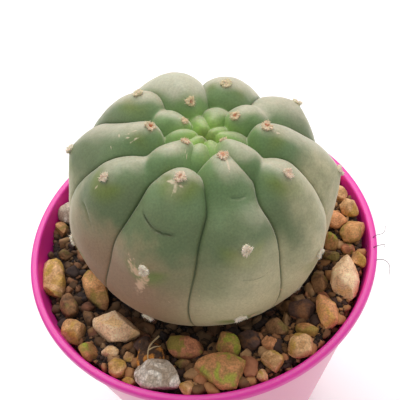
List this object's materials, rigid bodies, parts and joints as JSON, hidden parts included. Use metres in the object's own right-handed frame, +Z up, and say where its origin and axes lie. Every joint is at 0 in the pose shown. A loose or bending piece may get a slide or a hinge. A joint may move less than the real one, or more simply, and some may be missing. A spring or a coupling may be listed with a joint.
{
  "type": "potted matucana",
  "caption": "Small spineless ribbed cactus, grey-green with a bright green crown, in a round magenta plastic pot with gravel on its soil.",
  "frame": {"origin": "centre of the pot's foot, on the surface that the pot stands on", "axes": "+Z up along the pot's axis; +X towards the side that the plant leans to; +Y away from the front"},
  "size_m": [0.08, 0.08, 0.1034],
  "materials": {
    "magenta_plastic": "moulded, half gloss",
    "potting_mix": "damp grit and peat, dull",
    "cactus_skin": "waxy bloom over green skin, dull",
    "stone_tan": "broken and worn, dull",
    "stone_orange": "broken and worn, dull",
    "stone_brown": "broken and worn, dull",
    "stone_pale": "broken and worn, dull",
    "stone_green": "broken and worn, dull",
    "stone_dark": "broken and worn, dull",
    "stone_grey": "broken and worn, dull",
    "stone_red": "broken and worn, dull",
    "stone_peach": "broken and worn, dull"
  },
  "bodies": {
    "root": {"cactus": "cactus_skin", "pot": "magenta_plastic", "soil": "potting_mix", "stone_01": "stone_tan", "stone_02": "stone_orange", "stone_03": "stone_brown", "stone_04": "stone_brown", "stone_05": "stone_tan", "stone_06": "stone_pale", "stone_07": "stone_pale", "stone_08": "stone_green", "stone_09": "stone_tan", "stone_10": "stone_tan", "stone_11": "stone_dark", "stone_12": "stone_dark", "stone_13": "stone_grey", "stone_14": "stone_brown", "stone_15": "stone_red", "stone_16": "stone_tan", "stone_17": "stone_green", "stone_18": "stone_dark", "stone_19": "stone_green", "stone_20": "stone_tan", "stone_21": "stone_tan", "stone_22": "stone_brown", "stone_23": "stone_tan", "stone_24": "stone_peach", "stone_25": "stone_tan", "stone_26": "stone_orange", "stone_27": "stone_dark", "stone_28": "stone_peach", "stone_29": "stone_brown", "stone_30": "stone_green", "stone_31": "stone_brown", "stone_32": "stone_pale", "stone_33": "stone_tan", "stone_34": "stone_orange", "stone_35": "stone_red", "stone_36": "stone_tan", "stone_37": "stone_peach", "stone_38": "stone_tan", "stone_39": "stone_pale", "stone_40": "stone_orange", "stone_41": "stone_brown", "stone_42": "stone_red", "stone_43": "stone_tan", "stone_44": "stone_red", "stone_45": "stone_brown", "stone_46": "stone_green", "stone_47": "stone_brown", "stone_48": "stone_red", "stone_49": "stone_grey", "stone_50": "stone_red", "stone_51": "stone_dark", "stone_52": "stone_orange", "stone_53": "stone_dark", "stone_54": "stone_brown", "stone_55": "stone_peach", "stone_56": "stone_grey"}
  },
  "joints": []
}
